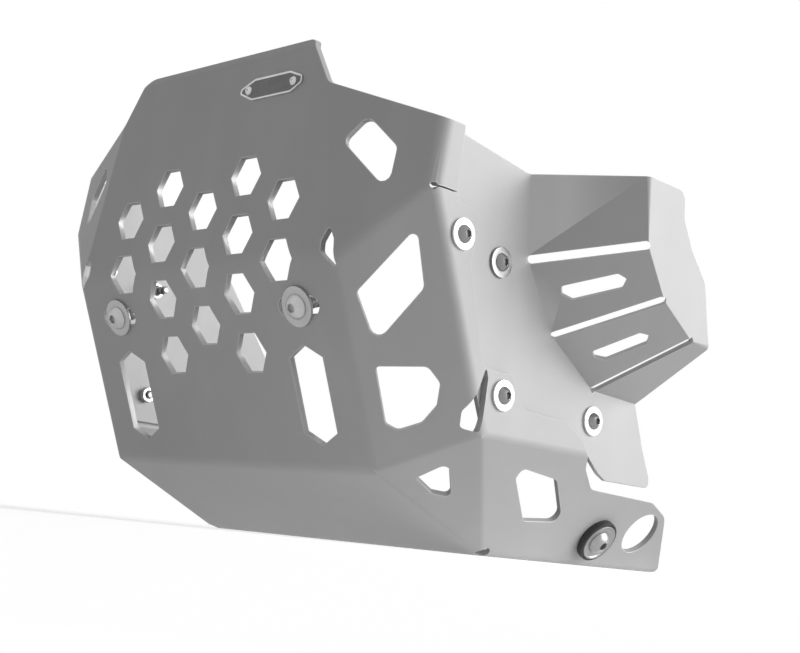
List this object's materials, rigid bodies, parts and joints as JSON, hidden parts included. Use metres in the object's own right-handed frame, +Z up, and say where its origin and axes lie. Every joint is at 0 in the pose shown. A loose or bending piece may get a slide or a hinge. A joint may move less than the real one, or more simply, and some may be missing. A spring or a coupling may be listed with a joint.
{
  "type": "motorcycle engine guard",
  "caption": "Folded sheet-metal guard for the front and underside of a motorcycle engine, with bolted side plates, hexagonal air openings and rubber-mounted lower bolts.",
  "frame": {"origin": "middle of the flat underside of the main plate, in the plane that the main plate is symmetric about", "axes": "+X to the machine's left, where the side plate has a raised pan; -Y to the front of the machine; +Z up, square to the flat underside"},
  "size_m": [0.4078, 0.3268, 0.289],
  "materials": {
    "main_sheet": "bead-blasted satin",
    "side_sheet": "bead-blasted satin",
    "badge_sheet": "satin, bare",
    "rivet_metal": "plain",
    "bolt_metal": "zinc plated",
    "side_washer_metal": "bright",
    "washer_metal": "zinc plated",
    "nut_metal": "zinc plated",
    "cup_metal": "turned",
    "mount_rubber": "matt"
  },
  "bodies": {
    "root": {"main_plate": "main_sheet", "left_side_plate": "side_sheet", "right_side_plate": "side_sheet", "badge_plate": "badge_sheet", "badge_rivet_inner": "rivet_metal", "badge_rivet_outer": "rivet_metal", "front_bolt_left": "bolt_metal", "front_bolt_right": "bolt_metal", "front_washer_left": "washer_metal", "front_washer_right": "washer_metal", "left_flange_bolt": "bolt_metal", "left_flange_washer": "side_washer_metal", "left_flange_nut": "nut_metal", "left_plate_bolt": "bolt_metal", "left_plate_washer": "washer_metal", "left_plate_spacer": "nut_metal", "left_tab_bolt": "bolt_metal", "left_tab_washer": "side_washer_metal", "left_tab_nut": "nut_metal", "left_tail_bolt": "bolt_metal", "left_tail_washer": "side_washer_metal", "left_tail_spacer": "nut_metal", "right_flange_bolt": "bolt_metal", "right_flange_washer": "side_washer_metal", "right_flange_nut": "nut_metal", "right_plate_bolt": "bolt_metal", "right_plate_washer": "washer_metal", "right_plate_spacer": "nut_metal", "right_tab_bolt": "bolt_metal", "right_tab_washer": "side_washer_metal", "right_tab_nut": "nut_metal", "right_tail_bolt": "bolt_metal", "right_tail_washer": "side_washer_metal", "right_tail_spacer": "nut_metal", "left_lower_grommet": "mount_rubber", "left_lower_sleeve": "cup_metal", "left_lower_cup": "cup_metal", "left_lower_bolt": "bolt_metal", "right_lower_grommet": "mount_rubber", "right_lower_sleeve": "cup_metal", "right_lower_cup": "cup_metal", "right_lower_bolt": "bolt_metal"}
  },
  "joints": []
}
